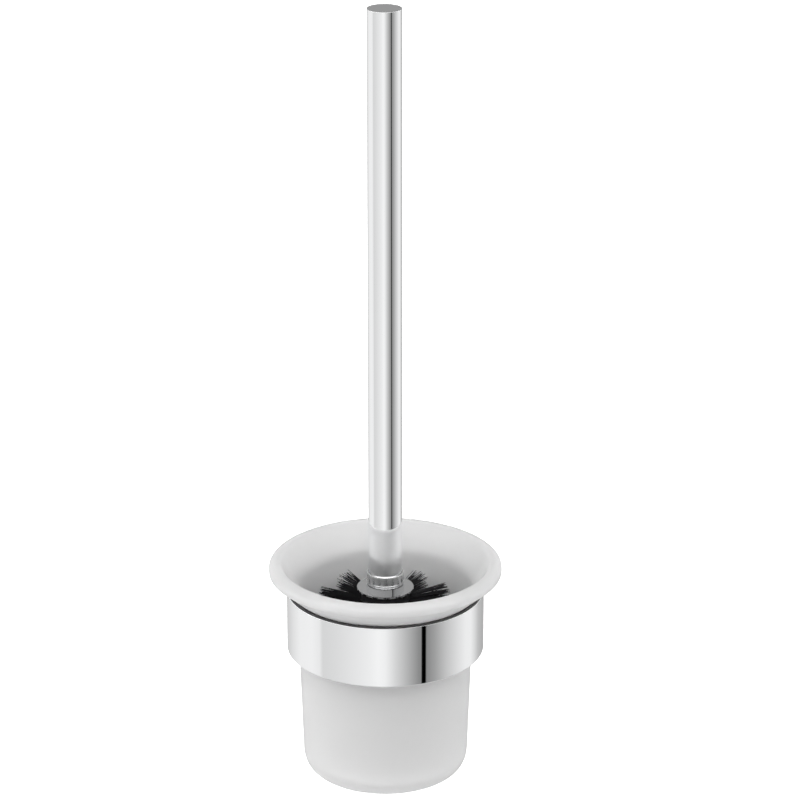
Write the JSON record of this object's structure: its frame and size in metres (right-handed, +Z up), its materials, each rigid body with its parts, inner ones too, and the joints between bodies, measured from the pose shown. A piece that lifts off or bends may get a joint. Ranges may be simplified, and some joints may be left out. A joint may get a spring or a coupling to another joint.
{
  "type": "toilet brush holder",
  "caption": "Wall-mounted toilet brush holder: a frosted glass cup with a flared lip in a chrome ring, and a brush with a long tubular chrome handle.",
  "frame": {"origin": "centre of the wall plate's back face, on the wall, level with the middle of the ring", "axes": "+Z up along the brush handle, +Y into the wall, -Y out into the room, +X to the right as seen from the room"},
  "size_m": [0.1106, 0.151, 0.3753],
  "materials": {
    "chrome": "mirror-polished chrome plating",
    "brushed_cap": "satin chrome end cap",
    "frosted_glass": "frosted white glass",
    "black_rubber": "soft black rubber",
    "black_plastic": "moulded black plastic",
    "black_bristle": "black nylon bristle",
    "zinc_steel": "bright zinc-plated steel",
    "brass": "turned brass"
  },
  "bodies": {
    "bracket": {"wall_plate": "zinc_steel", "wall_screw_left": "zinc_steel", "wall_screw_right": "zinc_steel", "wall_cover": "chrome", "cover_screw": "zinc_steel", "support_arm": "chrome", "arm_screw": "zinc_steel", "ring_screw": "zinc_steel", "holder_ring": "chrome", "seat_liner": "black_rubber"},
    "cup": {"glass_cup": "frosted_glass"},
    "brush_head": {"brush_core": "black_plastic", "brush_disc": "chrome", "brush_stud": "zinc_steel", "bristle_row_1": "black_bristle", "bristle_row_2": "black_bristle", "bristle_row_3": "black_bristle", "bristle_row_4": "black_bristle", "bristle_row_5": "black_bristle", "bristle_row_6": "black_bristle", "bristle_row_7": "black_bristle", "bristle_row_8": "black_bristle", "bristle_row_9": "black_bristle", "bristle_tip": "black_bristle"},
    "collar": {"handle_collar": "chrome"},
    "handle": {"handle_tube": "chrome", "handle_cap": "brushed_cap", "handle_insert": "brass"}
  },
  "joints": [
    {"name": "cup_lift", "type": "slide", "parent": "bracket", "child": "cup", "axis": [0, 0, 1], "range_m": [0, 0.13]},
    {"name": "brush_lift", "type": "slide", "parent": "cup", "child": "brush_head", "axis": [0, 0, 1], "range_m": [0, 0.13]},
    {"name": "collar_rise", "type": "slide", "parent": "brush_head", "child": "collar", "axis": [0, 0, 1], "range_m": [0, 0.01]},
    {"name": "handle_turn", "type": "hinge", "parent": "collar", "child": "handle", "pos_m": [0, -0.07, 0], "axis": [0, 0, 1], "range_deg": [0, 2880]}
  ],
  "couplings": [
    {"joint": "collar_rise", "follows": "handle_turn", "m_per_rad": 0.00019894}
  ]
}
